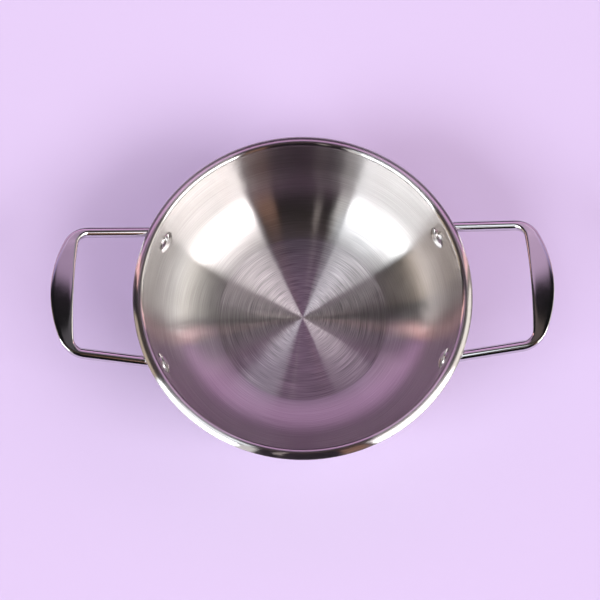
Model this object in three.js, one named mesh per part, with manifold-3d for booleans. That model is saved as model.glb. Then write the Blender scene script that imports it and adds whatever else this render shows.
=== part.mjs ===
// A shallow two-handled pan: a spun steel bowl on a capped aluminium base,
// with two bent-rod loop handles held to its wall by four domed rivets.
// Millimetres, +Z up. The origin is the centre of the base's underside, and the handles lie along X.

import * as THREE from "three";
import { mergeVertices } from "three/addons/utils/BufferGeometryUtils.js";
import Module from "manifold-3d";

const degrees = THREE.MathUtils.degToRad;

// Bowl
const LIP_RADIUS = 110; // pan axis to the outermost edge of the lip
const BOWL_DEPTH = 63; // crest of the lip to the cooking surface
const SHEET = 1.2; // thickness of the bowl's steel
const WALL_LEAN = degrees(5); // how far the wall leans out from upright
const FLOOR_CURVE = 42; // inside radius where the floor turns up into the wall
const LIP_BEND = 3; // top-face radius over the crest of the lip
const LIP_FLARE = 9; // top-face radius of the softer turn outside the crest
const LIP_BEND_END = degrees(105); // heading, from upright, where the tight bend gives way to the flare
const LIP_TIP = degrees(130); // heading, from upright, at the tip of the lip

// Base under the bowl
const CORE_THICKNESS = 3; // aluminium heat spreader
const CAP_SHEET = 0.6; // steel cap round the heat spreader
const CAP_EDGE = 2.4; // outside radius of the cap's lower edge
const BASE_INSET = 0.8; // cap's side wall inside the edge of the bowl's flat floor
const CORE_CLEARANCE = 0.3; // heat spreader to the cap's side wall

// Rivets
const RIVET_BEARING = degrees(24.6); // each rivet's angle off the handle's middle, seen from above
const RIVET_DROP = 20.8; // crest of the lip to the rivet's axis, at the wall's inner face
const HEAD_RADIUS = 7.4;
const HEAD_CROWN = 2.5; // height of the dome above its rim
const HEAD_RIM = 0.35; // least height of the straight rim under the dome
const SHANK_RADIUS = 2.5;
const TAIL_RADIUS = 4.2; // upset end outside the handle's tab
const TAIL_CROWN = 1.6;
const HOLE_CLEARANCE = 0.3; // shank to the holes in wall and tab
const SEAT_CLEARANCE = 0.3; // tab and rivet to the faces that they bear on

// Handle
const ROD_RADIUS = 3.5;
const HANDLE_RISE = degrees(13.5); // slope of the loop's plane, up and away from the pan
const LEG_TOE_IN = degrees(4.8); // each leg's turn towards the other, going outwards
const LIP_CLEARANCE = 0.6; // rod to the underside of the lip's edge
const TAB_WIDTH = 12;
const TAB_THICKNESS = 3.2;
const TAB_SHOULDER = 4; // length over which the round rod flattens into the tab
const TAB_BEND = 6.5; // centreline radius where the rod turns down to the tab
const GRIP_REACH = 160; // pan axis to the grip's outer edge
const GRIP_WIDTH = 14.4; // across the flattened grip at its middle
const GRIP_THICKNESS = 2.9; // at its middle
const GRIP_END_THICKNESS = 4.4; // where the grip meets its corners
const GRIP_OUTER_BOW = 81; // radius of the grip's outer edge, seen square on
const GRIP_INNER_BOW = 340; // radius of the grip's inner edge
const GRIP_ARCH = 1.6; // rise of the grip's top over the legs' top
const CORNER_OUTER = 20; // radius of the loop's corner, outer edge
const CORNER_INNER = 6; // radius of the loop's corner, inner edge

// How square each cross-section of the handle is: 2 is round, more is flatter with tighter edges
const ROUND = 2;
const GRIP_END_SQUARENESS = 5;
const GRIP_SQUARENESS = 8;
const TAB_SQUARENESS = 5;

// Fineness of the facets
const TURN_FACETS = 60; // round the bowl and the base
const RIVET_FACETS = 20;
const CHORD_ERROR = 0.1; // largest gap between an arc and its chords
const MERGE_DISTANCE = 1e-4; // points closer than this are one point
const SECTION_POINTS = 14; // round the handle's rod
const TAB_END_STEPS = 4;
const TAB_END_ANGLE = degrees(80); // where the round end of the tab is cut off blunt
const SHOULDER_STEPS = 4;
const BEND_STEPS = 6;
const CORNER_STEPS = 9;
const GRIP_STEPS = 6; // corner to the middle of the grip

// Heights
const floorUnder = CAP_SHEET + CORE_THICKNESS;
const floorTop = floorUnder + SHEET;
const lipTop = floorTop + BOWL_DEPTH;
const rivetHeight = lipTop - RIVET_DROP;

// Points along an arc, both ends included. Angles run from +X, and either way round.
function arcPoints(centre, radius, from, to) {
  const turn = Math.abs(to - from);
  const steps = Math.max(2, Math.ceil(turn / Math.sqrt((8 * CHORD_ERROR) / radius)));
  return Array.from({ length: steps + 1 }, (_, i) => {
    const angle = from + ((to - from) * i) / steps;
    return new THREE.Vector2(centre.x + radius * Math.cos(angle), centre.y + radius * Math.sin(angle));
  });
}

// The bowl's inner and top face is a chain of tangent arcs and lines in the (radius, height) plane.
// It is worked out from the tip of the lip inwards, so the flat floor takes what radius is left.
const lipTipAngle = Math.PI - LIP_TIP;
const lipBendEndAngle = Math.PI - LIP_BEND_END;
const lipBendCentre = new THREE.Vector2(0, lipTop - LIP_BEND);
const lipFlareCentre = new THREE.Vector2(0, 0);
lipFlareCentre.x = LIP_RADIUS - SHEET / 2 - (LIP_FLARE - SHEET / 2) * Math.cos(lipTipAngle);
lipBendCentre.x = lipFlareCentre.x + (LIP_FLARE - LIP_BEND) * Math.cos(lipBendEndAngle);
lipFlareCentre.y = lipBendCentre.y - (LIP_FLARE - LIP_BEND) * Math.sin(lipBendEndAngle);
const lipTipCentre = new THREE.Vector2(
  LIP_RADIUS - SHEET / 2,
  lipFlareCentre.y + (LIP_FLARE - SHEET / 2) * Math.sin(lipTipAngle),
);
const wallTopRadius = lipBendCentre.x - LIP_BEND * Math.cos(WALL_LEAN);
const wallTopHeight = lipBendCentre.y + LIP_BEND * Math.sin(WALL_LEAN);
const straightWallRadius = (height) => wallTopRadius - (wallTopHeight - height) * Math.tan(WALL_LEAN);
const floorCurveCentre = new THREE.Vector2(0, floorTop + FLOOR_CURVE);
floorCurveCentre.x = straightWallRadius(floorCurveCentre.y) - FLOOR_CURVE / Math.cos(WALL_LEAN);
const floorRadius = floorCurveCentre.x;

// The inner face where the rivets sit, which is on the floor's curve if the straight wall starts above them
const belowCurveCentre = floorCurveCentre.y - rivetHeight;
const rivetOnCurve = belowCurveCentre > FLOOR_CURVE * Math.sin(WALL_LEAN);
const rivetLean = rivetOnCurve ? Math.asin(belowCurveCentre / FLOOR_CURVE) : WALL_LEAN;
const rivetRadius = rivetOnCurve
  ? floorCurveCentre.x + FLOOR_CURVE * Math.cos(rivetLean)
  : straightWallRadius(rivetHeight);

// One face of the bowl from the axis to the tip of the lip, a given depth below the inner face.
function bowlFace(depth) {
  return [
    new THREE.Vector2(0, floorTop - depth),
    ...arcPoints(floorCurveCentre, FLOOR_CURVE + depth, -Math.PI / 2, -WALL_LEAN),
    ...arcPoints(lipBendCentre, LIP_BEND - depth, Math.PI - WALL_LEAN, lipBendEndAngle),
    ...arcPoints(lipFlareCentre, LIP_FLARE - depth, lipBendEndAngle, lipTipAngle).slice(1),
  ];
}

// The bowl's closed section: underside out to the tip, round the tip, and back down the inner face.
// The inner face can be grown inwards, to shape what sits against it.
function bowlSection(growth) {
  const tipRadius = (SHEET + growth) / 2;
  const tip = lipTipCentre
    .clone()
    .add(new THREE.Vector2(Math.cos(lipTipAngle), Math.sin(lipTipAngle)).multiplyScalar(growth / 2));
  const roundTip = arcPoints(tip, tipRadius, lipTipAngle - Math.PI, lipTipAngle).slice(1, -1);
  return [...bowlFace(SHEET), ...roundTip, ...bowlFace(-growth).reverse()];
}

// Turn a section round the Z axis. It runs from the axis, out, up and back to the axis.
function turned(section, facets) {
  return new THREE.LatheGeometry(section, facets).rotateX(Math.PI / 2);
}

// Solids for cutting and joining
const wasm = await Module();
wasm.setup();

function toSolid(geometry) {
  const bare = geometry.clone();
  bare.deleteAttribute("normal");
  bare.deleteAttribute("uv");
  const merged = mergeVertices(bare, MERGE_DISTANCE);
  return new wasm.Manifold(
    new wasm.Mesh({
      numProp: 3,
      vertProperties: new Float32Array(merged.attributes.position.array),
      triVerts: new Uint32Array(merged.index.array),
    }),
  );
}

function toGeometry(solid) {
  const mesh = solid.getMesh();
  const geometry = new THREE.BufferGeometry();
  geometry.setAttribute("position", new THREE.BufferAttribute(mesh.vertProperties, 3));
  geometry.setIndex(new THREE.BufferAttribute(mesh.triVerts, 1));
  geometry.computeVertexNormals();
  return geometry;
}

// A rivet's frame: its origin on the wall's inner face, its Z axis square to the wall and pointing in.
function rivetFrame(bearing) {
  const out = new THREE.Vector3(Math.cos(bearing), Math.sin(bearing), 0);
  const inward = out.clone().multiplyScalar(-Math.cos(rivetLean)).setZ(Math.sin(rivetLean));
  const sideways = new THREE.Vector3(-Math.sin(bearing), Math.cos(bearing), 0);
  const upward = new THREE.Vector3().crossVectors(inward, sideways);
  const place = out.multiplyScalar(rivetRadius).setZ(rivetHeight);
  return new THREE.Matrix4().makeBasis(sideways, upward, inward).setPosition(place);
}

// A shallow dome on a straight rim, as a section from its foot to its crown
function domeSection(radius, rimHeight, crown) {
  const sphere = (radius * radius + crown * crown) / (2 * crown);
  const centre = new THREE.Vector2(0, rimHeight + crown - sphere);
  const rimAngle = Math.acos(radius / sphere);
  return arcPoints(centre, sphere, rimAngle, Math.PI / 2);
}

// Stack of what the shank passes through, outwards from the wall's inner face
const tabSeat = SHEET + SEAT_CLEARANCE;
const tailSeat = tabSeat + TAB_THICKNESS + SEAT_CLEARANCE;

// Head inside, its underside cut to the wall's curve, and a shank with its upset tail outside
function rivet(bearing, seatCutter) {
  const tightestCurve = rivetOnCurve ? Math.min(FLOOR_CURVE, rivetRadius) : rivetRadius;
  const wallHollow = HEAD_RADIUS ** 2 / (2 * tightestCurve);
  const rimTop = SEAT_CLEARANCE + wallHollow + HEAD_RIM;
  const headSection = [
    new THREE.Vector2(0, 0),
    new THREE.Vector2(HEAD_RADIUS, 0),
    ...domeSection(HEAD_RADIUS, rimTop, HEAD_CROWN),
  ];
  const tail = domeSection(TAIL_RADIUS, tailSeat, TAIL_CROWN);
  const stemSection = [
    ...tail.map((point) => new THREE.Vector2(point.x, -point.y)).reverse(),
    new THREE.Vector2(SHANK_RADIUS, -tailSeat),
    new THREE.Vector2(SHANK_RADIUS, rimTop),
    new THREE.Vector2(0, rimTop),
  ];
  const frame = rivetFrame(bearing);
  const head = toSolid(turned(headSection, RIVET_FACETS).applyMatrix4(frame));
  const stem = toSolid(turned(stemSection, RIVET_FACETS).applyMatrix4(frame));
  return toGeometry(head.subtract(seatCutter).add(stem));
}

// The clear hole that a rivet's shank passes through
function rivetHole(bearing) {
  const radius = SHANK_RADIUS + HOLE_CLEARANCE;
  const length = 2 * (tailSeat + TAIL_CROWN);
  const hole = new THREE.CylinderGeometry(radius, radius, length, RIVET_FACETS).rotateX(Math.PI / 2);
  return toSolid(hole.applyMatrix4(rivetFrame(bearing)));
}

// Handle. It is made for the +X side, as cross-sections along half a loop that are then mirrored in Y.
// The loop's plane holds the Y axis and this outward slope.
const outward = new THREE.Vector3(Math.cos(HANDLE_RISE), 0, Math.sin(HANDLE_RISE));
const planeUp = new THREE.Vector3(-Math.sin(HANDLE_RISE), 0, Math.cos(HANDLE_RISE));
const legHeading = outward
  .clone()
  .multiplyScalar(Math.cos(LEG_TOE_IN))
  .add(new THREE.Vector3(0, -Math.sin(LEG_TOE_IN), 0));
const legAcross = outward
  .clone()
  .multiplyScalar(Math.sin(LEG_TOE_IN))
  .add(new THREE.Vector3(0, Math.cos(LEG_TOE_IN), 0));

// Up the wall and sideways along it, at the rivet's bearing
const bearingOut = new THREE.Vector3(Math.cos(RIVET_BEARING), Math.sin(RIVET_BEARING), 0);
const wallUp = bearingOut.clone().multiplyScalar(Math.sin(rivetLean)).setZ(Math.cos(rivetLean));
const wallAcross = new THREE.Vector3(-Math.sin(RIVET_BEARING), Math.cos(RIVET_BEARING), 0);

// The middle of a bar of given half thickness that lies on the wall's outside, some way above the rivet
function onWall(climb, halfThickness) {
  const offWall = tabSeat + halfThickness;
  const face = bearingOut.clone().multiplyScalar(rivetRadius).setZ(rivetHeight);
  const wallOut = bearingOut.clone().multiplyScalar(Math.cos(rivetLean)).setZ(-Math.sin(rivetLean));
  return face.addScaledVector(wallUp, climb).addScaledVector(wallOut, offWall);
}

// Where the leg's line meets the wall's line, at the height that takes the rod just under the lip
const lipUnderside = lipTipCentre.y - SHEET / 2;
const rodHeightAtLip = lipUnderside - LIP_CLEARANCE - ROD_RADIUS / Math.cos(HANDLE_RISE);
const legSlope = legHeading.z / Math.hypot(legHeading.x, legHeading.y);
const rodAtRivet = onWall(0, ROD_RADIUS);
const radiusAtRivet = Math.hypot(rodAtRivet.x, rodAtRivet.y);
const legFall = legSlope * (LIP_RADIUS - radiusAtRivet);
const kneeClimb =
  (rodHeightAtLip - legFall - rodAtRivet.z) / (Math.cos(rivetLean) - legSlope * Math.sin(rivetLean));
const knee = onWall(kneeClimb, ROD_RADIUS);
const kneeTurn = wallUp.angleTo(legHeading);
const kneeLength = TAB_BEND * Math.tan(kneeTurn / 2);

// Coordinates in the loop's plane: along the outward slope from the pan's axis, and along Y
const planeOrigin = new THREE.Vector3(0, 0, knee.z - knee.x * Math.tan(HANDLE_RISE));
const kneeInPlane = new THREE.Vector2(knee.x / Math.cos(HANDLE_RISE), knee.y);
const gripLift = GRIP_ARCH + ROD_RADIUS - GRIP_THICKNESS / 2;
const reachInPlane = (GRIP_REACH + gripLift * Math.sin(HANDLE_RISE)) / Math.cos(HANDLE_RISE);

function inPlane(point, lift) {
  return planeOrigin
    .clone()
    .addScaledVector(outward, point.x)
    .add(new THREE.Vector3(0, point.y, 0))
    .addScaledVector(planeUp, lift);
}

// One edge of the half loop: the grip's shallow bow, then a corner that ends on the leg's edge.
function loopEdge(gripEdge, bow, corner, legOffset) {
  const bowCentre = new THREE.Vector2(gripEdge - bow, 0);
  const legSide = new THREE.Vector2(Math.sin(LEG_TOE_IN), Math.cos(LEG_TOE_IN));
  const legAlong = new THREE.Vector2(Math.cos(LEG_TOE_IN), -Math.sin(LEG_TOE_IN));
  const start = kneeInPlane.clone().addScaledVector(legSide, legOffset - corner);
  // The corner's centre lies on a line beside the leg, as far from the bow's centre as the radii differ.
  const toStart = start.clone().sub(bowCentre);
  const along = toStart.dot(legAlong);
  const spread = (bow - corner) ** 2 - toStart.lengthSq() + along ** 2;
  const cornerCentre = start.clone().addScaledVector(legAlong, Math.sqrt(spread) - along);
  const gripAngle = Math.atan2(cornerCentre.y, cornerCentre.x - bowCentre.x);
  const legAngle = Math.PI / 2 - LEG_TOE_IN;
  const onCircle = (centre, radius, angle) =>
    new THREE.Vector2(centre.x + radius * Math.cos(angle), centre.y + radius * Math.sin(angle));
  return {
    alongCorner: (t) => onCircle(cornerCentre, corner, legAngle + (gripAngle - legAngle) * t),
    alongGrip: (t) => onCircle(bowCentre, bow, gripAngle * (1 - t)),
  };
}

const outerEdge = loopEdge(reachInPlane, GRIP_OUTER_BOW, CORNER_OUTER, ROD_RADIUS);
const innerEdge = loopEdge(reachInPlane - GRIP_WIDTH, GRIP_INNER_BOW, CORNER_INNER, -ROD_RADIUS);

// A cross-section between the loop's two edges, lifted so that the loop's top is one shallow arch
function loopStation(inner, outer, halfThickness, squareness) {
  const middle = inner.clone().add(outer).multiplyScalar(0.5);
  const arch = GRIP_ARCH * Math.max(0, 1 - (middle.y / kneeInPlane.y) ** 2);
  const lift = arch + ROD_RADIUS - halfThickness;
  const from = inPlane(inner, lift);
  const to = inPlane(outer, lift);
  return {
    centre: inPlane(middle, lift),
    across: to.clone().sub(from).normalize(),
    through: planeUp,
    halfWidth: from.distanceTo(to) / 2,
    halfThickness,
    squareness,
  };
}

const fractions = (count) => Array.from({ length: count }, (_, i) => i / count);
const lerp = THREE.MathUtils.lerp;
const ease = (t) => THREE.MathUtils.smoothstep(t, 0, 1);

// A section square to a heading, with its width turned as near as can be to a wanted direction
function station(centre, heading, wantedAcross, halfWidth, halfThickness, squareness) {
  const across = wantedAcross.clone().projectOnPlane(heading).normalize();
  const through = new THREE.Vector3().crossVectors(heading, across);
  return { centre, across, through, halfWidth, halfThickness, squareness };
}

// Tab: a flat paddle whose round end is centred on the rivet
function tabStations() {
  const halfWidth = TAB_WIDTH / 2;
  const halfThickness = TAB_THICKNESS / 2;
  return fractions(TAB_END_STEPS).map((t) => {
    const angle = lerp(TAB_END_ANGLE, 0, t);
    const centre = onWall(-halfWidth * Math.sin(angle), halfThickness);
    return station(centre, wallUp, wallAcross, halfWidth * Math.cos(angle), halfThickness, TAB_SQUARENESS);
  });
}

// Shoulder: the tab swells into the round rod, and its wall side stays flush
function shoulderStations() {
  const top = kneeClimb - kneeLength;
  return fractions(SHOULDER_STEPS).map((t) => {
    const round = ease(t);
    const halfThickness = lerp(TAB_THICKNESS / 2, ROD_RADIUS, round);
    const halfWidth = lerp(TAB_WIDTH / 2, ROD_RADIUS, round);
    const centre = onWall(top - TAB_SHOULDER * (1 - t), halfThickness);
    const squareness = lerp(TAB_SQUARENESS, ROUND, round);
    return station(centre, wallUp, wallAcross, halfWidth, halfThickness, squareness);
  });
}

// Bend: the round rod turns from the wall to the leg, and its sections twist from the tab's line to the leg's
function bendStations() {
  const axis = new THREE.Vector3().crossVectors(wallUp, legHeading).normalize();
  const start = knee.clone().addScaledVector(wallUp, -kneeLength);
  const side = new THREE.Vector3().crossVectors(axis, wallUp);
  const centre = start.clone().addScaledVector(side, TAB_BEND);
  return fractions(BEND_STEPS).map((t) => {
    const turn = kneeTurn * t;
    const spoke = start.clone().sub(centre).applyAxisAngle(axis, turn);
    const heading = wallUp.clone().applyAxisAngle(axis, turn);
    const across = wallAcross.clone().lerp(legAcross, t);
    return station(centre.clone().add(spoke), heading, across, ROD_RADIUS, ROD_RADIUS, ROUND);
  });
}

// Corner: the leg's end turns and starts to flatten. Its first section is the leg's own round one.
function cornerStations() {
  const legEnd = knee.clone().addScaledVector(legHeading, kneeLength);
  const leg = [station(legEnd, legHeading, legAcross, ROD_RADIUS, ROD_RADIUS, ROUND)];
  const corner = fractions(CORNER_STEPS).map((t) =>
    loopStation(
      innerEdge.alongCorner(t),
      outerEdge.alongCorner(t),
      lerp(ROD_RADIUS, GRIP_END_THICKNESS / 2, ease(t)),
      lerp(ROUND, GRIP_END_SQUARENESS, ease(t)),
    ),
  );
  return [...leg, ...corner];
}

// Grip: flattens further towards its middle, which is the last section of the half
function gripStations() {
  return [...fractions(GRIP_STEPS), 1].map((t) =>
    loopStation(
      innerEdge.alongGrip(t),
      outerEdge.alongGrip(t),
      lerp(GRIP_END_THICKNESS, GRIP_THICKNESS, ease(t)) / 2,
      lerp(GRIP_END_SQUARENESS, GRIP_SQUARENESS, ease(t)),
    ),
  );
}

// The points round one section, on a superellipse
function sectionRing({ centre, across, through, halfWidth, halfThickness, squareness }) {
  const bulge = (value) => Math.sign(value) * Math.abs(value) ** (2 / squareness);
  return Array.from({ length: SECTION_POINTS }, (_, i) => {
    const angle = (2 * Math.PI * i) / SECTION_POINTS;
    return centre
      .clone()
      .addScaledVector(across, halfWidth * bulge(Math.cos(angle)))
      .addScaledVector(through, halfThickness * bulge(Math.sin(angle)));
  });
}

// Skin over a row of rings, with a flat cap on each end
function loft(rings) {
  const count = rings[0].length;
  const positions = rings.flat().flatMap((point) => point.toArray());
  const index = [];
  for (let ring = 0; ring + 1 < rings.length; ring += 1) {
    for (let i = 0; i < count; i += 1) {
      const a = ring * count + i;
      const b = ring * count + ((i + 1) % count);
      index.push(a, b, b + count, a, b + count, a + count);
    }
  }
  const last = (rings.length - 1) * count;
  for (let i = 1; i + 1 < count; i += 1) {
    index.push(0, i + 1, i);
    index.push(last, last + i, last + i + 1);
  }
  const geometry = new THREE.BufferGeometry();
  geometry.setAttribute("position", new THREE.Float32BufferAttribute(positions, 3));
  geometry.setIndex(index);
  return geometry;
}

function handle() {
  const stations = [tabStations, shoulderStations, bendStations, cornerStations, gripStations];
  const half = stations.flatMap((make) => make()).map(sectionRing);
  const mirror = (ring) => ring.map((point) => new THREE.Vector3(point.x, -point.y, point.z));
  const otherHalf = half.slice(0, -1).reverse().map(mirror);
  const solid = toSolid(loft([...half, ...otherHalf]));
  return toGeometry(solid.subtract(rivetHole(RIVET_BEARING)).subtract(rivetHole(-RIVET_BEARING)));
}

// Base: a shallow steel cup round the heat spreader, its rim meeting the bowl's underside
const capRadius = floorRadius - BASE_INSET;
const capEdge = Math.min(CAP_EDGE, floorUnder);
const capInnerEdge = Math.max(capEdge - CAP_SHEET, CAP_SHEET / 2);

function baseCap() {
  const insideRadius = capRadius - CAP_SHEET;
  const outerEdgeCentre = new THREE.Vector2(capRadius - capEdge, capEdge);
  const innerEdgeCentre = new THREE.Vector2(insideRadius - capInnerEdge, CAP_SHEET + capInnerEdge);
  return turned(
    [
      new THREE.Vector2(0, 0),
      ...arcPoints(outerEdgeCentre, capEdge, -Math.PI / 2, 0),
      new THREE.Vector2(capRadius, floorUnder),
      new THREE.Vector2(insideRadius, floorUnder),
      ...arcPoints(innerEdgeCentre, capInnerEdge, 0, -Math.PI / 2),
      new THREE.Vector2(0, CAP_SHEET),
    ],
    TURN_FACETS,
  );
}

function heatSpreader() {
  const radius = capRadius - CAP_SHEET - CORE_CLEARANCE;
  const edgeCentre = new THREE.Vector2(radius - capInnerEdge, CAP_SHEET + capInnerEdge);
  return turned(
    [
      new THREE.Vector2(0, CAP_SHEET),
      ...arcPoints(edgeCentre, capInnerEdge, -Math.PI / 2, 0),
      new THREE.Vector2(radius, floorUnder),
      new THREE.Vector2(0, floorUnder),
    ],
    TURN_FACETS,
  );
}

// Which rivet stands where: the left handle is the right one turned half round
const rivetBearings = {
  rivet_right_far: RIVET_BEARING,
  rivet_right_near: -RIVET_BEARING,
  rivet_left_near: Math.PI + RIVET_BEARING,
  rivet_left_far: Math.PI - RIVET_BEARING,
};

function bowl() {
  const solid = toSolid(turned(bowlSection(0), TURN_FACETS));
  const pierce = (rest, bearing) => rest.subtract(rivetHole(bearing));
  return toGeometry(Object.values(rivetBearings).reduce(pierce, solid));
}

// Materials
const steel = (color, roughness) => new THREE.MeshStandardMaterial({ color, roughness, metalness: 1 });
const brushedSteel = steel(0xb4b0b3, 0.34);
const spunSteel = steel(0xa9a7aa, 0.42);
const polishedSteel = steel(0xc4c2c6, 0.14);
const rivetSteel = steel(0xcfcdd0, 0.08);
const aluminium = new THREE.MeshStandardMaterial({ color: 0xd2d4d7, roughness: 0.55, metalness: 1 });

const pan = new THREE.Group();

function addPiece(name, geometry, material, turn = 0) {
  const mesh = new THREE.Mesh(geometry, material);
  mesh.name = name;
  mesh.rotation.z = turn;
  pan.add(mesh);
}

addPiece("pot_body", bowl(), brushedSteel);
addPiece("heat_spreader_disc", heatSpreader(), aluminium);
addPiece("base_cap", baseCap(), spunSteel);

const handleShape = handle();
addPiece("handle_right", handleShape, polishedSteel);
addPiece("handle_left", handleShape, polishedSteel, Math.PI);

const seatCutter = toSolid(turned(bowlSection(SEAT_CLEARANCE), TURN_FACETS));
for (const [name, bearing] of Object.entries(rivetBearings)) {
  addPiece(name, rivet(bearing, seatCutter), rivetSteel);
}

export default pan;
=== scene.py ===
"""A two-handled steel pan on a pale lilac floor, drawn finely over its CAD frame. Metres, +Z up."""

import math

import bpy
from mathutils import Matrix, Vector


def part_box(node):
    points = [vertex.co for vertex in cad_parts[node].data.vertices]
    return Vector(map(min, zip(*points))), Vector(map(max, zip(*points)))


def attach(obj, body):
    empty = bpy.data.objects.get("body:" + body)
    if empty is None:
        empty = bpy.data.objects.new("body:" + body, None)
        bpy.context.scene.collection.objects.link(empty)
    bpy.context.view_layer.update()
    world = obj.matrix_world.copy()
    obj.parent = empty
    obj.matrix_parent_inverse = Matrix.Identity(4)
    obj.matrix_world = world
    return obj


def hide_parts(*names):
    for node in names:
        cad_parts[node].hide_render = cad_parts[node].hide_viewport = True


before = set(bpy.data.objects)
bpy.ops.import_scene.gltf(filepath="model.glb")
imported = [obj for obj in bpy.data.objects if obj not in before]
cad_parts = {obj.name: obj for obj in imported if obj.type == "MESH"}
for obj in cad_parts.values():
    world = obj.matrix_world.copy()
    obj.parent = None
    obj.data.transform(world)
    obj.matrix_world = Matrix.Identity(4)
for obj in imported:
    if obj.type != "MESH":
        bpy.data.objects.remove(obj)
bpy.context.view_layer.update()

# Bowl: its outline is the frame's, its curves are the CAD's
bowl_low, bowl_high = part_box("pot_body")
lip_radius = bowl_high.x
lip_top = bowl_high.z
floor_under = bowl_low.z
SHEET = 0.0012
WALL_LEAN = math.radians(5)
FLOOR_CURVE = 0.042
LIP_BEND = 0.003
LIP_FLARE = 0.009
LIP_BEND_END = math.radians(105)
LIP_TIP = math.radians(130)

# Base cap
cap_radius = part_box("base_cap")[1].x
cap_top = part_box("base_cap")[1].z
CAP_SHEET = 0.0006
CAP_EDGE = 0.0024

# Rivets
RIVET_BEARING = math.radians(24.6)
RIVET_DROP = 0.0208
HEAD_RADIUS = 0.0074
HEAD_CROWN = 0.0025
HEAD_RIM = 0.00093
HEAD_EDGE = 0.0005
SHANK_RADIUS = 0.0025
TAIL_RADIUS = 0.0042
TAIL_CROWN = 0.0016
TAIL_EDGE = 0.0003
SEAT_GAP = 0.0003

# Handle
ROD_RADIUS = 0.0035
HANDLE_RISE = math.radians(13.5)
LEG_TOE_IN = math.radians(4.8)
LIP_GAP = 0.0006
TAB_WIDTH = 0.012
TAB_THICKNESS = 0.0032
TAB_SHOULDER = 0.004
TAB_BEND = 0.0065
GRIP_WIDTH = 0.0144
GRIP_THICKNESS = 0.0029
GRIP_END_THICKNESS = 0.0044
GRIP_OUTER_BOW = 0.081
GRIP_INNER_BOW = 0.34
GRIP_ARCH = 0.0016
CORNER_OUTER = 0.02
CORNER_INNER = 0.006
grip_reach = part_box("handle_right")[1].x

# How square each cross-section of the handle is: 2 is round, more is flatter with tighter edges
ROUND = 2.0
GRIP_END_SQUARENESS = 5.0
GRIP_SQUARENESS = 8.0
TAB_SQUARENESS = 5.0

# Fineness of the meshes
BOWL_FACETS = 288
RIVET_FACETS = 72
ARC_STEP = math.radians(2.5)
FLOOR_RINGS = 24
SECTION_POINTS = 80
TAB_END_STEPS = 10
TAB_END_ANGLE = math.radians(86)
SHOULDER_STEPS = 12
BEND_STEPS = 24
CORNER_STEPS = 44
GRIP_STEPS = 48

# Camera
CAMERA_DISTANCE = 0.70743
CAMERA_ELEVATION = math.radians(71.66)
CAMERA_SWING = math.radians(1.0365)
CAMERA_LENS = 65.77
CAMERA_SENSOR = 36.0
CAMERA_SHIFT_X = -0.00438
CAMERA_SHIFT_Y = -0.01767

# Rings in the spun steel: how far their gloss is drawn out, their lines, and how the lines vary the gloss
RING_PULL = 0.85
RING_PITCH = 0.00045
RING_GROUP = 5
RING_WANDER = 2.2
RING_STREAK = 0.03
LINE_GLOSS = (0.75, 1.25)
BAND_GLOSS = (0.92, 1.08)

# Finishes of the spun steel: roughness of its sharp gloss, of its soft gloss, and contrast of its rings
SOFT_SHARE = 0.3
FINISH_CHANGE = 0.0015
BOWL_COLOUR = (0.64, 0.62, 0.61)
BOWL_FLOOR_FINISH = (0.22, 0.32, 1.4)
BOWL_WALL_FINISH = (0.17, 0.30, 0.7)
BOWL_LIP_FINISH = (0.08, 0.30, 0.2)
BASE_COLOUR = (0.55, 0.54, 0.54)
BASE_FACE_FINISH = (0.26, 0.34, 1.2)
BASE_SIDE_FINISH = (0.20, 0.30, 0.7)

# Crease at the edge of the bowl's floor
CREASE_SLOPE = 0.13
CREASE_WIDTH = 0.001
CREASE_FADE = 0.014

# Polished metal: range of colour, range of roughness, and size and depth of its unevenness
CLOUD_DETAIL = 4
CORE_FINISH = (((0.70, 0.71, 0.72), (0.80, 0.81, 0.82)), (0.45, 0.60), 300, 0.000004)
HANDLE_FINISH = (((0.60, 0.59, 0.60), (0.68, 0.67, 0.68)), (0.06, 0.12), 160, 0.000002)
RIVET_FINISH = (((0.68, 0.67, 0.67), (0.74, 0.73, 0.73)), (0.06, 0.12), 400, 0.000001)

# Floor, backdrop and the unlit room
FLOOR_HALF = 8.0
FLOOR_COLOUR = (0.69, 0.58, 0.825)
FLOOR_ROUGHNESS = 0.9
FLOOR_SHINE = 0.1
BACKDROP_COLOUR = (0.82, 0.64, 0.95)
ROOM_COLOUR = (0.01, 0.01, 0.01)


# Meshes


def new_piece(name, points, faces, material):
    mesh = bpy.data.meshes.new(name)
    mesh.from_pydata([tuple(point) for point in points], [], faces)
    mesh.validate()
    mesh.polygons.foreach_set("use_smooth", [True] * len(mesh.polygons))
    mesh.materials.append(material)
    piece = bpy.data.objects.new(name, mesh)
    bpy.context.scene.collection.objects.link(piece)
    return piece


def arc(centre, radius, start, end):
    """Points along an arc in the (radius, height) plane, both ends included."""
    steps = max(2, math.ceil(abs(end - start) / ARC_STEP))
    angles = [start + (end - start) * i / steps for i in range(steps + 1)]
    return [(centre[0] + radius * math.cos(a), centre[1] + radius * math.sin(a)) for a in angles]


def turned(name, section, facets, material, place=None):
    """A section turned round Z. It starts and ends on the axis, and its outside is on its right."""
    place = place or Matrix.Identity(4)
    points = [place @ Vector((0, 0, section[0][1]))]
    angles = [2 * math.pi * i / facets for i in range(facets)]
    for radius, height in section[1:-1]:
        points += [place @ Vector((radius * math.cos(a), radius * math.sin(a), height)) for a in angles]
    points.append(place @ Vector((0, 0, section[-1][1])))
    last = len(points) - 1
    faces = []
    for i in range(facets):
        after = (i + 1) % facets
        faces.append((0, 1 + after, 1 + i))
        for ring in range(len(section) - 3):
            low = 1 + ring * facets
            faces.append((low + i, low + after, low + facets + after, low + facets + i))
        top = last - facets
        faces.append((last, top + i, top + after))
    return new_piece(name, points, faces, material)


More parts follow.
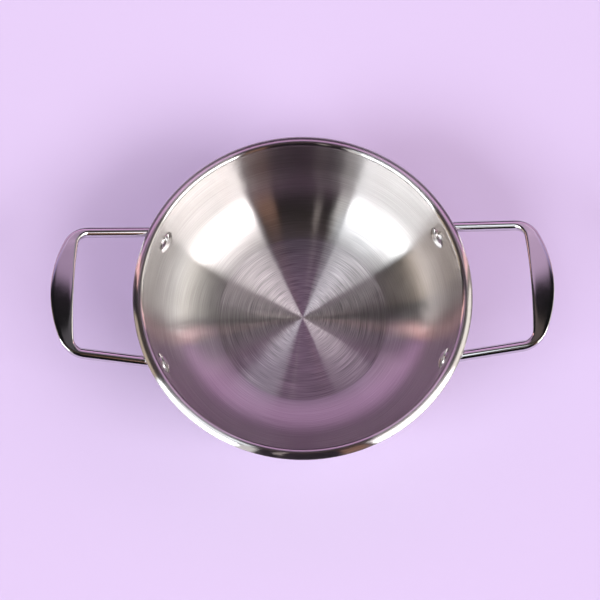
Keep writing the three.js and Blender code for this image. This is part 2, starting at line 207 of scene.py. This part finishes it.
# Bowl section: a chain of tangent arcs and lines, worked out from the tip of the lip inwards
floor_top = floor_under + SHEET
lip_tip_angle = math.pi - LIP_TIP
lip_bend_end = math.pi - LIP_BEND_END
tip_radius = lip_radius - SHEET / 2
flare_x = tip_radius - (LIP_FLARE - SHEET / 2) * math.cos(lip_tip_angle)
bend_centre = (flare_x + (LIP_FLARE - LIP_BEND) * math.cos(lip_bend_end), lip_top - LIP_BEND)
flare_centre = (flare_x, bend_centre[1] - (LIP_FLARE - LIP_BEND) * math.sin(lip_bend_end))
tip_centre = (tip_radius, flare_centre[1] + (LIP_FLARE - SHEET / 2) * math.sin(lip_tip_angle))
wall_top = (
    bend_centre[0] - LIP_BEND * math.cos(WALL_LEAN),
    bend_centre[1] + LIP_BEND * math.sin(WALL_LEAN),
)


def wall_radius(height):
    return wall_top[0] - (wall_top[1] - height) * math.tan(WALL_LEAN)


curve_height = floor_top + FLOOR_CURVE
floor_radius = wall_radius(curve_height) - FLOOR_CURVE / math.cos(WALL_LEAN)
curve_centre = (floor_radius, curve_height)


def bowl_face(depth):
    """One face of the bowl from the axis to the lip's tip, some depth below the inner face."""
    floor = [(floor_radius * i / FLOOR_RINGS, floor_top - depth) for i in range(FLOOR_RINGS)]
    curve = arc(curve_centre, FLOOR_CURVE + depth, -math.pi / 2, -WALL_LEAN)
    bend = arc(bend_centre, LIP_BEND - depth, math.pi - WALL_LEAN, lip_bend_end)
    flare = arc(flare_centre, LIP_FLARE - depth, lip_bend_end, lip_tip_angle)
    return floor + curve + bend + flare[1:]


def bowl_section():
    tip = arc(tip_centre, SHEET / 2, lip_tip_angle - math.pi, lip_tip_angle)
    return bowl_face(SHEET) + tip[1:-1] + bowl_face(0)[::-1]


def cap_section():
    """The base cap: a shallow cup with a rounded lower edge."""
    inside = cap_radius - CAP_SHEET
    inner_edge = CAP_EDGE - CAP_SHEET
    outer = arc((cap_radius - CAP_EDGE, CAP_EDGE), CAP_EDGE, -math.pi / 2, 0)
    inner = arc((inside - inner_edge, CAP_EDGE), inner_edge, 0, -math.pi / 2)
    rim = [(cap_radius, cap_top), (inside, cap_top)]
    return [(0, 0)] + outer + rim + inner + [(0, CAP_SHEET)]


# Rivets
rivet_height = lip_top - RIVET_DROP
tab_seat = SHEET + SEAT_GAP
tail_seat = tab_seat + TAB_THICKNESS


def rivet_place(bearing):
    """Frame with its origin on the wall's inner face and its Z axis square to the wall, pointing in."""
    out = Vector((math.cos(bearing), math.sin(bearing), 0))
    inward = -math.cos(WALL_LEAN) * out + Vector((0, 0, math.sin(WALL_LEAN)))
    sideways = Vector((-math.sin(bearing), math.cos(bearing), 0))
    upward = inward.cross(sideways)
    origin = wall_radius(rivet_height) * out + Vector((0, 0, rivet_height))
    return Matrix.Translation(origin) @ Matrix((sideways, upward, inward)).transposed().to_4x4()


def dome(radius, foot, crown, edge):
    """Section of a shallow dome on a straight rim, with a rounded edge, from rim to crown."""
    sphere = (radius**2 + crown**2) / (2 * crown)
    centre = foot + crown - sphere
    edge_height = centre + math.sqrt((sphere - edge) ** 2 - (radius - edge) ** 2)
    meet = math.atan2(edge_height - centre, radius - edge)
    rounded = arc((radius - edge, edge_height), edge, 0, meet)
    return rounded + arc((0, centre), sphere, meet, math.pi / 2)[1:]


def rivet_section():
    tail = [(x, -z) for x, z in dome(TAIL_RADIUS, tail_seat, TAIL_CROWN, TAIL_EDGE)][::-1]
    tail_foot = [(TAIL_RADIUS, -tail_seat), (SHANK_RADIUS, -tail_seat)]
    head_foot = [(SHANK_RADIUS, -SEAT_GAP), (HEAD_RADIUS, -SEAT_GAP)]
    return tail + tail_foot + head_foot + dome(HEAD_RADIUS, HEAD_RIM, HEAD_CROWN, HEAD_EDGE)


# Handle, made for the +X side as cross-sections along half a loop that are then mirrored in Y
outward = Vector((math.cos(HANDLE_RISE), 0, math.sin(HANDLE_RISE)))
plane_up = Vector((-math.sin(HANDLE_RISE), 0, math.cos(HANDLE_RISE)))
along_y = Vector((0, 1, 0))
leg_heading = math.cos(LEG_TOE_IN) * outward - math.sin(LEG_TOE_IN) * along_y
leg_across = math.sin(LEG_TOE_IN) * outward + math.cos(LEG_TOE_IN) * along_y
bearing_out = Vector((math.cos(RIVET_BEARING), math.sin(RIVET_BEARING), 0))
wall_up = math.sin(WALL_LEAN) * bearing_out + Vector((0, 0, math.cos(WALL_LEAN)))
wall_out = math.cos(WALL_LEAN) * bearing_out - Vector((0, 0, math.sin(WALL_LEAN)))
wall_across = Vector((-math.sin(RIVET_BEARING), math.cos(RIVET_BEARING), 0))


def on_wall(climb, half_thickness):
    """The middle of a bar that lies on the wall's outside, some way above the rivet."""
    face = wall_radius(rivet_height) * bearing_out + Vector((0, 0, rivet_height))
    return face + climb * wall_up + (tab_seat + half_thickness) * wall_out


# Where the leg's line meets the wall's line, at the height that takes the rod just under the lip
rod_height_at_lip = tip_centre[1] - SHEET / 2 - LIP_GAP - ROD_RADIUS / math.cos(HANDLE_RISE)
leg_slope = leg_heading.z / leg_heading.xy.length
rod_at_rivet = on_wall(0, ROD_RADIUS)
leg_fall = leg_slope * (lip_radius - rod_at_rivet.xy.length)
knee_rise = rod_height_at_lip - leg_fall - rod_at_rivet.z
knee_climb = knee_rise / (math.cos(WALL_LEAN) - leg_slope * math.sin(WALL_LEAN))
knee = on_wall(knee_climb, ROD_RADIUS)
knee_turn = wall_up.angle(leg_heading)
knee_length = TAB_BEND * math.tan(knee_turn / 2)

# Coordinates in the loop's plane: along the outward slope from the pan's axis, and along Y
plane_origin = Vector((0, 0, knee.z - knee.x * math.tan(HANDLE_RISE)))
knee_in_plane = Vector((knee.x / math.cos(HANDLE_RISE), knee.y))
grip_lift = GRIP_ARCH + ROD_RADIUS - GRIP_THICKNESS / 2
reach_in_plane = (grip_reach + grip_lift * math.sin(HANDLE_RISE)) / math.cos(HANDLE_RISE)


def in_plane(point, lift):
    return plane_origin + point.x * outward + point.y * along_y + lift * plane_up


def on_circle(centre, radius, angle):
    return centre + radius * Vector((math.cos(angle), math.sin(angle)))


def loop_edge(grip_edge, bow, corner, leg_offset):
    """One edge of the half loop, as two functions: along its corner and along the grip's shallow bow."""
    bow_centre = Vector((grip_edge - bow, 0))
    leg_side = Vector((math.sin(LEG_TOE_IN), math.cos(LEG_TOE_IN)))
    leg_along = Vector((math.cos(LEG_TOE_IN), -math.sin(LEG_TOE_IN)))
    start = knee_in_plane + (leg_offset - corner) * leg_side
    to_start = start - bow_centre
    along = to_start.dot(leg_along)
    spread = (bow - corner) ** 2 - to_start.length_squared + along**2
    corner_centre = start + (math.sqrt(spread) - along) * leg_along
    grip_angle = math.atan2(corner_centre.y, corner_centre.x - bow_centre.x)
    leg_angle = math.pi / 2 - LEG_TOE_IN

    def along_corner(t):
        return on_circle(corner_centre, corner, leg_angle + (grip_angle - leg_angle) * t)

    def along_grip(t):
        return on_circle(bow_centre, bow, grip_angle * (1 - t))

    return along_corner, along_grip


outer_corner, outer_grip = loop_edge(reach_in_plane, GRIP_OUTER_BOW, CORNER_OUTER, ROD_RADIUS)
inner_corner, inner_grip = loop_edge(
    reach_in_plane - GRIP_WIDTH, GRIP_INNER_BOW, CORNER_INNER, -ROD_RADIUS
)


def lerp(a, b, t):
    return a + (b - a) * t


def ease(t):
    return t * t * (3 - 2 * t)


def fractions(count):
    return [i / count for i in range(count)]


def ring(centre, across, through, half_width, half_thickness, squareness):
    """The points round one section, on a superellipse."""
    points = []
    for i in range(SECTION_POINTS):
        angle = 2 * math.pi * i / SECTION_POINTS
        u = math.copysign(abs(math.cos(angle)) ** (2 / squareness), math.cos(angle))
        v = math.copysign(abs(math.sin(angle)) ** (2 / squareness), math.sin(angle))
        points.append(centre + half_width * u * across + half_thickness * v * through)
    return points


def loop_ring(inner, outer, half_thickness, squareness):
    """A section between the loop's two edges, lifted so that the loop's top is one shallow arch."""
    middle = (inner + outer) / 2
    arch = GRIP_ARCH * max(0, 1 - (middle.y / knee_in_plane.y) ** 2)
    lift = arch + ROD_RADIUS - half_thickness
    width = in_plane(outer, lift) - in_plane(inner, lift)
    across = width.normalized()
    return ring(in_plane(middle, lift), across, plane_up, width.length / 2, half_thickness, squareness)


def square_ring(centre, heading, wanted_across, half_width, half_thickness, squareness):
    """A section square to a heading, its width turned as near as can be to a wanted direction."""
    across = (wanted_across - wanted_across.project(heading)).normalized()
    return ring(centre, across, heading.cross(across), half_width, half_thickness, squareness)


def tab_rings():
    half_width = TAB_WIDTH / 2
    half_thickness = TAB_THICKNESS / 2
    rings = []
    for t in fractions(TAB_END_STEPS):
        angle = lerp(TAB_END_ANGLE, 0, t)
        centre = on_wall(-half_width * math.sin(angle), half_thickness)
        width = half_width * math.cos(angle)
        rings.append(square_ring(centre, wall_up, wall_across, width, half_thickness, TAB_SQUARENESS))
    return rings


def shoulder_rings():
    """The tab swells into the round rod, and its wall side stays flush."""
    top = knee_climb - knee_length
    rings = []
    for t in fractions(SHOULDER_STEPS):
        half_thickness = lerp(TAB_THICKNESS / 2, ROD_RADIUS, ease(t))
        half_width = lerp(TAB_WIDTH / 2, ROD_RADIUS, ease(t))
        centre = on_wall(top - TAB_SHOULDER * (1 - t), half_thickness)
        squareness = lerp(TAB_SQUARENESS, ROUND, ease(t))
        rings.append(square_ring(centre, wall_up, wall_across, half_width, half_thickness, squareness))
    return rings


def bend_rings():
    """The round rod turns from the wall to the leg, and its sections twist with it."""
    axis = wall_up.cross(leg_heading).normalized()
    start = knee - knee_length * wall_up
    centre = start + TAB_BEND * axis.cross(wall_up)
    rings = []
    for t in fractions(BEND_STEPS):
        turn = Matrix.Rotation(knee_turn * t, 3, axis)
        across = wall_across.lerp(leg_across, t)
        spot = centre + turn @ (start - centre)
        rings.append(square_ring(spot, turn @ wall_up, across, ROD_RADIUS, ROD_RADIUS, ROUND))
    return rings


def corner_rings():
    """The leg's end turns and starts to flatten."""
    leg_end = knee + knee_length * leg_heading
    rings = [square_ring(leg_end, leg_heading, leg_across, ROD_RADIUS, ROD_RADIUS, ROUND)]
    for t in fractions(CORNER_STEPS):
        half_thickness = lerp(ROD_RADIUS, GRIP_END_THICKNESS / 2, ease(t))
        squareness = lerp(ROUND, GRIP_END_SQUARENESS, ease(t))
        rings.append(loop_ring(inner_corner(t), outer_corner(t), half_thickness, squareness))
    return rings


def grip_rings():
    """The grip flattens further towards its middle."""
    rings = []
    for t in fractions(GRIP_STEPS) + [1]:
        half_thickness = lerp(GRIP_END_THICKNESS, GRIP_THICKNESS, ease(t)) / 2
        squareness = lerp(GRIP_END_SQUARENESS, GRIP_SQUARENESS, ease(t))
        rings.append(loop_ring(inner_grip(t), outer_grip(t), half_thickness, squareness))
    return rings


def handle(name, material, turn):
    half = tab_rings() + shoulder_rings() + bend_rings() + corner_rings() + grip_rings()
    mirrored = [[Vector((p.x, -p.y, p.z)) for p in points] for points in half[-2::-1]]
    rings = half + mirrored
    place = Matrix.Rotation(turn, 4, "Z")
    points = [place @ point for points in rings for point in points]
    faces = []
    for row in range(len(rings) - 1):
        for i in range(SECTION_POINTS):
            a = row * SECTION_POINTS + i
            b = row * SECTION_POINTS + (i + 1) % SECTION_POINTS
            faces.append((a, b, b + SECTION_POINTS, a + SECTION_POINTS))
    last = (len(rings) - 1) * SECTION_POINTS
    faces.append(tuple(reversed(range(SECTION_POINTS))))
    faces.append(tuple(range(last, last + SECTION_POINTS)))
    return new_piece(name, points, faces, material)


# Materials


class Shader:
    """A material's node tree, with short ways to add nodes."""

    def __init__(self, name, kind="ShaderNodeBsdfPrincipled"):
        self.material = bpy.data.materials.new(name)
        self.material.use_nodes = True
        self.tree = self.material.node_tree
        self.tree.nodes.clear()
        self.surface = self.node(kind)
        output = self.node("ShaderNodeOutputMaterial")
        self.put(output.inputs["Surface"], self.surface.outputs[0])

    def node(self, kind, **settings):
        node = self.tree.nodes.new(kind)
        for key, value in settings.items():
            setattr(node, key, value)
        return node

    def put(self, socket, value):
        if isinstance(value, bpy.types.NodeSocket):
            self.tree.links.new(value, socket)
        else:
            socket.default_value = value

    def math(self, operation, *values):
        node = self.node("ShaderNodeMath", operation=operation)
        for socket, value in zip(node.inputs, values):
            self.put(socket, value)
        return node.outputs[0]

    def place(self):
        """Where the point is, as (x, y, z) sockets."""
        where = self.node("ShaderNodeTexCoord").outputs["Object"]
        split = self.node("ShaderNodeSeparateXYZ")
        self.put(split.inputs[0], where)
        return split.outputs

    def vector(self, x, y, z):
        join = self.node("ShaderNodeCombineXYZ")
        for socket, value in zip(join.inputs, (x, y, z)):
            self.put(socket, value)
        return join.outputs[0]

    def noise(self, vector, scale, detail):
        node = self.node("ShaderNodeTexNoise")
        self.put(node.inputs["Vector"], vector)
        node.inputs["Scale"].default_value = scale
        node.inputs["Detail"].default_value = detail
        return node.outputs["Fac"]

    def spread(self, value, low, high):
        """A 0 to 1 value moved to another range."""
        node = self.node("ShaderNodeMapRange")
        self.put(node.inputs["Value"], value)
        node.inputs["To Min"].default_value = low
        node.inputs["To Max"].default_value = high
        return node.outputs[0]

    def step(self, value, edge, softness):
        """0 below an edge and 1 above it, with a soft change between."""
        node = self.node("ShaderNodeMapRange", interpolation_type="SMOOTHSTEP")
        self.put(node.inputs["Value"], value)
        node.inputs["From Min"].default_value = edge - softness
        node.inputs["From Max"].default_value = edge + softness
        return node.outputs[0]

    def blend(self, share, first, second):
        node = self.node("ShaderNodeMix", data_type="VECTOR")
        self.put(node.inputs["Factor"], share)
        self.put(node.inputs["A"], first)
        self.put(node.inputs["B"], second)
        return node.outputs["Result"]

    def set(self, **sockets):
        for key, value in sockets.items():
            self.put(self.surface.inputs[key.replace("_", " ")], value)

    def vector_math(self, operation, *values):
        node = self.node("ShaderNodeVectorMath", operation=operation)
        sockets = [node.inputs[0], node.inputs["Scale"]] if operation == "SCALE" else node.inputs
        for socket, value in zip(sockets, values):
            self.put(socket, value)
        return node.outputs[0]

    def leaned(self, normal, direction, slope):
        """The normal, leaned by a slope towards a direction."""
        leaning = self.vector_math("ADD", normal, self.vector_math("SCALE", direction, slope))
        return self.vector_math("NORMALIZE", leaning)

    def bump(self, height, depth):
        node = self.node("ShaderNodeBump")
        node.inputs["Strength"].default_value = 1
        node.inputs["Distance"].default_value = depth
        self.put(node.inputs["Height"], height)
        self.set(Normal=node.outputs[0])


def spun_steel(name, colour, crease, floor_finish, *zones):
    """Steel with fine rings round the axis: sharp along the rings, spread out across them.

    A zone is where it starts on the way from the axis to the lip, and its finish. The first zone starts
    with a crease: there the rings lean inwards by that slope, and less further up.
    """
    shader = Shader(name, "ShaderNodeMixShader")
    x, y, z = shader.place()
    squares = shader.math("ADD", shader.math("MULTIPLY", x, x), shader.math("MULTIPLY", y, y))
    radius = shader.math("SQRT", squares)
    path = shader.math("ADD", radius, z)
    bearing = shader.math("ARCTAN2", y, x)
    east = shader.math("MULTIPLY", shader.math("COSINE", bearing), RING_WANDER)
    north = shader.math("MULTIPLY", shader.math("SINE", bearing), RING_WANDER)
    fine = shader.noise(shader.vector(shader.math("DIVIDE", path, RING_PITCH), east, north), 1, 1)
    grouped = shader.math("DIVIDE", path, RING_GROUP * RING_PITCH)
    broad = shader.noise(shader.vector(grouped, east, north), 1, 2)
    floor_end = zones[0][0]
    risen = shader.step(path, floor_end, CREASE_WIDTH)
    faded = shader.step(path, floor_end + CREASE_FADE, CREASE_FADE)
    finish = list(floor_finish)
    before = floor_finish
    for start, after in zones:
        share = shader.step(path, start, FINISH_CHANGE)
        for i in range(len(finish)):
            finish[i] = shader.math("MULTIPLY_ADD", share, after[i] - before[i], finish[i])
        before = after
    sharp, soft, contrast = finish
    lines = shader.math("MULTIPLY_ADD", shader.math("SUBTRACT", fine, 0.5), contrast, 1)
    tangent = shader.node("ShaderNodeTangent", direction_type="RADIAL", axis="Z").outputs[0]
    normal = shader.node("ShaderNodeNewGeometry").outputs["Normal"]
    inward = shader.vector_math("CROSS_PRODUCT", normal, tangent)
    streak = shader.math("MULTIPLY", shader.math("SUBTRACT", fine, 0.5), RING_STREAK)
    lean = shader.math("MULTIPLY", shader.math("SUBTRACT", risen, faded), crease)
    leaning = shader.leaned(shader.leaned(normal, inward, lean), tangent, streak)
    shade = shader.vector_math("SCALE", colour, lines)
    sharp = shader.math("MULTIPLY", sharp, shader.spread(fine, *LINE_GLOSS))
    soft = shader.math("MULTIPLY", soft, shader.spread(broad, *BAND_GLOSS))
    shader.surface.inputs["Fac"].default_value = SOFT_SHARE
    for socket, roughness in zip(shader.surface.inputs[1:], (sharp, soft)):
        gloss = shader.node("ShaderNodeBsdfAnisotropic")
        gloss.inputs["Anisotropy"].default_value = RING_PULL
        shader.put(gloss.inputs["Color"], shade)
        shader.put(gloss.inputs["Roughness"], roughness)
        shader.put(gloss.inputs["Normal"], leaning)
        shader.put(gloss.inputs["Tangent"], tangent)
        shader.put(socket, gloss.outputs[0])
    return shader.material


def polished_metal(name, colours, roughness, scale, depth):
    """Metal with a faint unevenness."""
    shader = Shader(name)
    where = shader.node("ShaderNodeTexCoord").outputs["Object"]
    cloud = shader.noise(where, scale, CLOUD_DETAIL)
    shader.set(Metallic=1, Base_Color=shader.blend(cloud, *colours))
    shader.set(Roughness=shader.spread(cloud, *roughness))
    shader.bump(cloud, depth)
    return shader.material


bowl_steel = spun_steel(
    "bowl_steel",
    BOWL_COLOUR,
    CREASE_SLOPE,
    BOWL_FLOOR_FINISH,
    (floor_radius + floor_top, BOWL_WALL_FINISH),
    (sum(wall_top), BOWL_LIP_FINISH),
)
base_steel = spun_steel("base_steel", BASE_COLOUR, 0, BASE_FACE_FINISH, (cap_radius, BASE_SIDE_FINISH))
core_aluminium = polished_metal("core_aluminium", *CORE_FINISH)
handle_steel = polished_metal("handle_steel", *HANDLE_FINISH)
rivet_steel = polished_metal("rivet_steel", *RIVET_FINISH)


# Pieces


def dress(piece, node):
    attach(piece, "root")
    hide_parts(node)


dress(turned("bowl", bowl_section(), BOWL_FACETS, bowl_steel), "pot_body")
dress(turned("base", cap_section(), BOWL_FACETS, base_steel), "base_cap")
dress(handle("right_handle", handle_steel, 0), "handle_right")
dress(handle("left_handle", handle_steel, math.pi), "handle_left")

rivet_bearings = {
    "right_far": RIVET_BEARING,
    "right_near": -RIVET_BEARING,
    "left_near": math.pi + RIVET_BEARING,
    "left_far": math.pi - RIVET_BEARING,
}
for spot, bearing in rivet_bearings.items():
    rivet = turned(spot + "_rivet", rivet_section(), RIVET_FACETS, rivet_steel, rivet_place(bearing))
    dress(rivet, "rivet_" + spot)

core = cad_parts["heat_spreader_disc"]
core.data.materials.clear()
core.data.materials.append(core_aluminium)


# Floor
corners = [(x * FLOOR_HALF, y * FLOOR_HALF, 0) for x, y in ((-1, -1), (1, -1), (1, 1), (-1, 1))]
floor_paint = Shader("floor_paper")
floor_paint.set(Base_Color=(*FLOOR_COLOUR, 1), Roughness=FLOOR_ROUGHNESS)
floor_paint.surface.inputs["Specular IOR Level"].default_value = FLOOR_SHINE
floor = new_piece("floor", corners, [(0, 1, 2, 3)], floor_paint.material)


# Light
class Sky(Shader):
    """The studio round the pan, painted by direction."""

    def __init__(self, name, room):
        world = bpy.data.worlds.new(name)
        bpy.context.scene.world = world
        world.use_nodes = True
        self.tree = world.node_tree
        self.surface = self.tree.nodes["Background"]
        where = self.node("ShaderNodeTexCoord").outputs["Generated"]
        self.where = self.vector_math("NORMALIZE", where)
        self.height = self.dot((0, 0, 1))
        self.total = room

    def panel(self, bearing, half_width, low, high, softness, colour):
        """Adds a flat, upright, soft-edged panel that faces the pan. Angles are in degrees."""
        soft = math.radians(softness)
        facing = Vector((math.cos(math.radians(bearing)), math.sin(math.radians(bearing)), 0))
        forward = self.dot(facing)
        sideways = self.math("ABSOLUTE", self.dot(Vector((-facing.y, facing.x, 0))))
        aside = self.math("ARCTAN2", sideways, forward)
        climb = self.math("ARCTAN2", self.height, forward)
        beyond = self.step(aside, math.radians(half_width), soft)
        above = self.step(climb, math.radians(low), soft)
        over = self.step(climb, math.radians(high), soft)
        within = self.math("SUBTRACT", 1, beyond)
        share = self.math("MULTIPLY", within, self.math("SUBTRACT", above, over))
        self.add(self.vector_math("SCALE", colour, share))

    def dot(self, direction):
        node = self.node("ShaderNodeVectorMath", operation="DOT_PRODUCT")
        self.put(node.inputs[0], self.where)
        self.put(node.inputs[1], direction)
        return node.outputs["Value"]

    def add(self, light):
        self.total = self.vector_math("ADD", self.total, light)

    def finish(self, backdrop):
        """Lets the pan and the floor see the panels, and shows the camera a plain backdrop instead."""
        to_camera = self.node("ShaderNodeLightPath").outputs["Is Camera Ray"]
        self.set(Color=self.blend(to_camera, self.total, backdrop))


# Panels round the pan: bearing, half width, low edge, high edge and softness in degrees, and colour
PANELS = {
    "backdrop_low": (90, 58, 29, 50, 2, (1.02, 0.57, 1.02)),
    "backdrop_middle": (90, 40, 50, 62, 2, (0.44, 0.31, 0.41)),
    "backdrop_right": (37, 15, 40, 57, 2, (0.32, 0.31, 0.31)),
    "backdrop_left": (143, 15, 40, 57, 2, (0.06, 0.06, 0.06)),
    "backdrop_top_middle": (90, 18, 60, 69, 2, (0.40, 0.30, 0.55)),
    "backdrop_top_right": (58, 16, 57, 66, 1.5, (0.50, 0.34, 0.52)),
    "backdrop_top_left": (122, 16, 57, 67, 1.5, (0.66, 0.46, 0.68)),
    "backdrop_right_edge": (29, 3, -5, 45, 1, (1.55, 0.90, 0.96)),
    "backdrop_left_edge": (151, 3, -5, 45, 1, (1.80, 1.00, 1.00)),
    "ceiling": (-90, 75, 76, 90, 2, (0.12, 0.09, 0.06)),
    "ceiling_left": (152, 10, 62, 77, 1.5, (0.13, 0.10, 0.09)),
    "ceiling_right": (27, 10, 59, 75, 1.5, (0.11, 0.10, 0.11)),
    "right_window_low": (-34.5, 22.5, 5, 25, 2, (1.1, 1.1, 1.1)),
    "right_window_middle": (-34.5, 22.5, 25, 45, 2, (10.2, 9.8, 9.7)),
    "right_window_high": (-34.5, 22.5, 45, 60, 2, (2.2, 2.05, 2.15)),
    "left_window_low": (-143.5, 21.5, 5, 25, 2, (1.25, 1.3, 1.35)),
    "left_window_middle": (-143.5, 21.5, 25, 45, 2, (8.6, 8.8, 9.0)),
    "left_window_high": (-143.5, 21.5, 45, 60, 2, (0.60, 0.60, 0.68)),
    "left_window_top": (-143.5, 21.5, 60, 72, 2, (1.6, 1.75, 1.85)),
    "left_strip": (-117.5, 4, -5, 60, 1.5, (0.98, 0.96, 0.94)),
    "right_card": (4, 16, 15, 45, 3, (1.75, 1.66, 1.54)),
    "right_far_card": (22, 5, -5, 35, 2, (0.50, 0.44, 0.40)),
    "left_card": (181, 13, 8, 34, 2, (0.86, 0.70, 0.53)),
    "slit": (-103, 2.5, 45, 72, 0.7, (0.48, 0.42, 0.40)),
    "warm_card": (-66, 6, 20, 60, 2, (0.35, 0.19, 0.13)),
}
sky = Sky("studio", ROOM_COLOUR)
for panel in PANELS.values():
    sky.panel(*panel)
sky.finish(BACKDROP_COLOUR)


# Camera
camera_data = bpy.data.cameras.new("camera")
camera_data.lens = CAMERA_LENS
camera_data.sensor_width = CAMERA_SENSOR
camera_data.shift_x = CAMERA_SHIFT_X
camera_data.shift_y = CAMERA_SHIFT_Y
camera = bpy.data.objects.new("camera", camera_data)
bpy.context.scene.collection.objects.link(camera)
sight = Vector(
    (
        -math.sin(CAMERA_SWING) * math.cos(CAMERA_ELEVATION),
        -math.cos(CAMERA_SWING) * math.cos(CAMERA_ELEVATION),
        math.sin(CAMERA_ELEVATION),
    )
)
camera.location = Vector((0, 0, lip_top)) + CAMERA_DISTANCE * sight
camera.rotation_euler = sight.to_track_quat("Z", "Y").to_euler()
bpy.context.scene.camera = camera

bpy.context.scene.view_settings.view_transform = "Standard"
